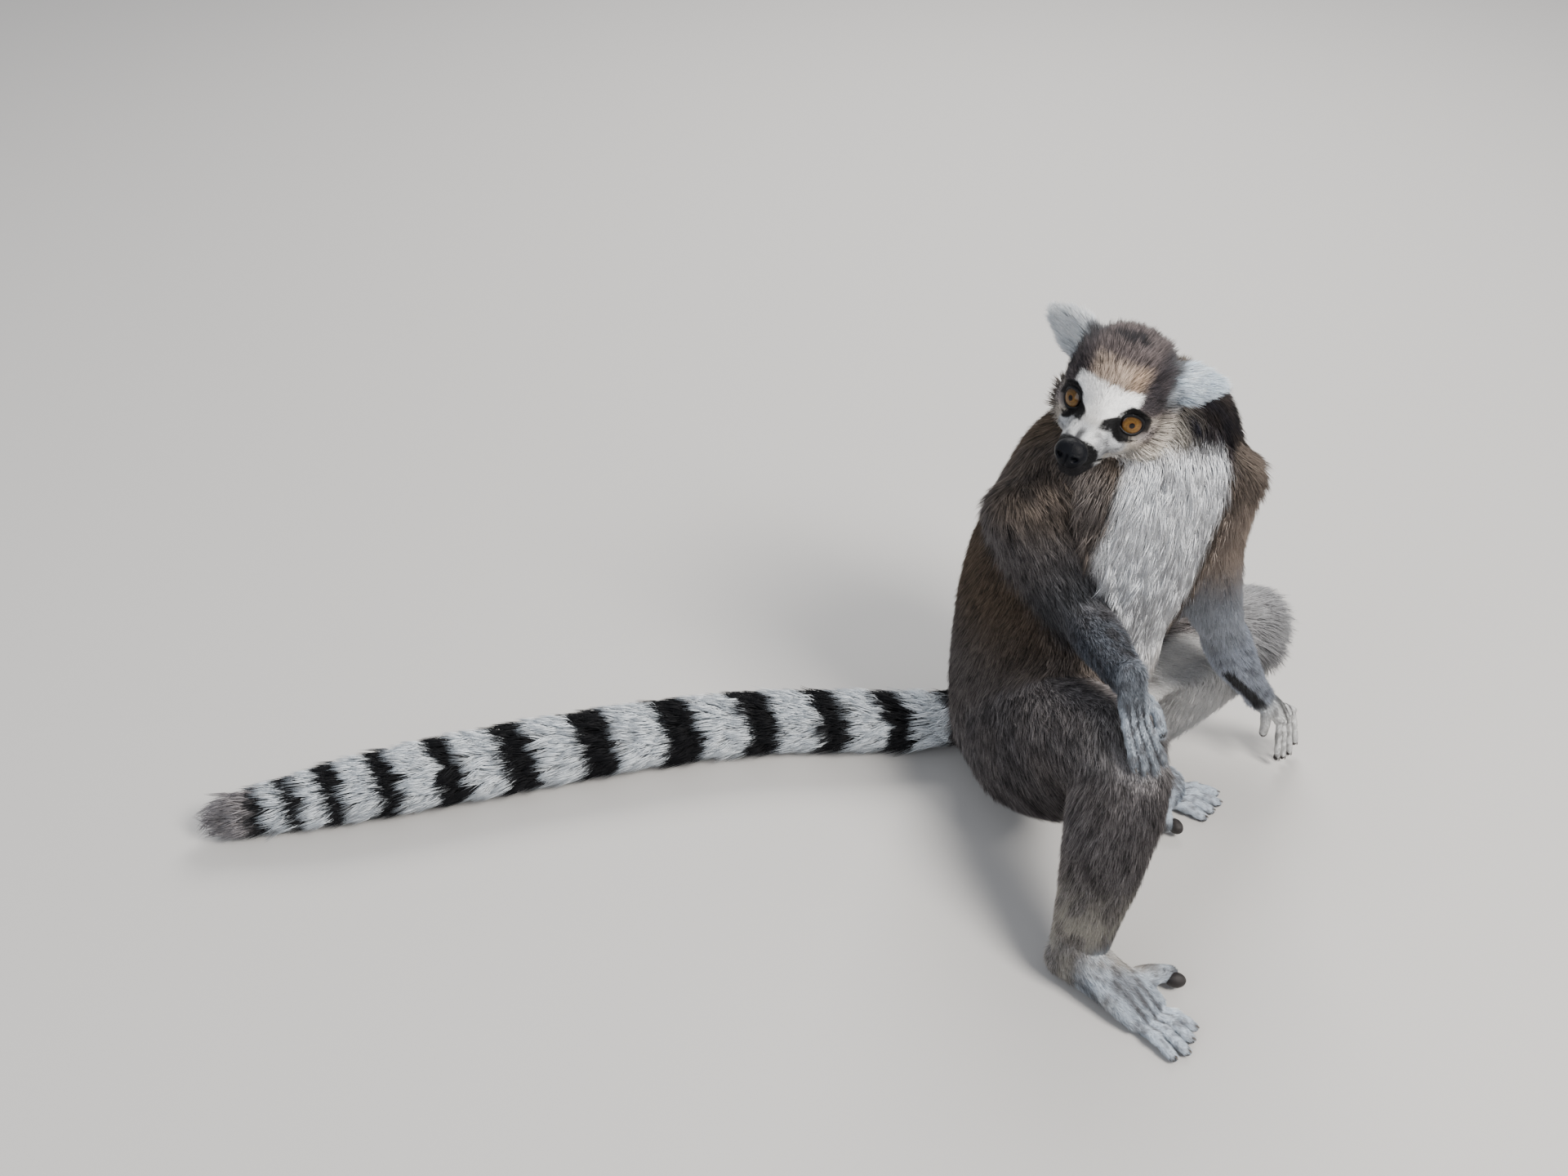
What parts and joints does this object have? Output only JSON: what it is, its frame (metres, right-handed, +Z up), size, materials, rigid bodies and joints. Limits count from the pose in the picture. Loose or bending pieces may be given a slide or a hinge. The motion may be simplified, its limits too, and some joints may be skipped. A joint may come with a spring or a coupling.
{
  "type": "ring-tailed lemur figure",
  "caption": "Life-size still model of a ring-tailed lemur sitting on the ground, one knee drawn up, arms resting, head turned, banded tail laid out to the side",
  "frame": {"origin": "middle of the footprint, on the ground", "axes": "+Z up; the tail runs out along -X; +X is to the right of the picture and +Y away from the camera; the belly faces between +X and -Y"},
  "size_m": [0.7616, 0.3515, 0.3593],
  "materials": {
    "coat_back": "brown-grey fur",
    "coat_legs": "grey fur",
    "coat_pale": "pale short fur",
    "coat_white": "white fur",
    "coat_black": "black fur",
    "nose_skin": "moist bare skin",
    "iris": "clear gloss"
  },
  "bodies": {
    "root": {"head": "coat_pale", "neck": "coat_legs", "trunk": "coat_back", "upper_arm_l": "coat_back", "upper_arm_r": "coat_back", "forearm_l": "coat_pale", "forearm_r": "coat_pale", "hand_l": "coat_pale", "hand_r": "coat_pale", "thigh_l": "coat_legs", "thigh_r": "coat_legs", "shank_l": "coat_legs", "shank_r": "coat_legs", "foot_l": "coat_pale", "foot_r": "coat_pale", "ear_l": "coat_white", "ear_r": "coat_white", "eye_l": "iris", "eye_r": "iris", "nose": "nose_skin", "tail_1": "coat_black", "tail_2": "coat_white", "tail_3": "coat_black", "tail_4": "coat_white", "tail_5": "coat_black", "tail_6": "coat_white"}
  },
  "joints": []
}
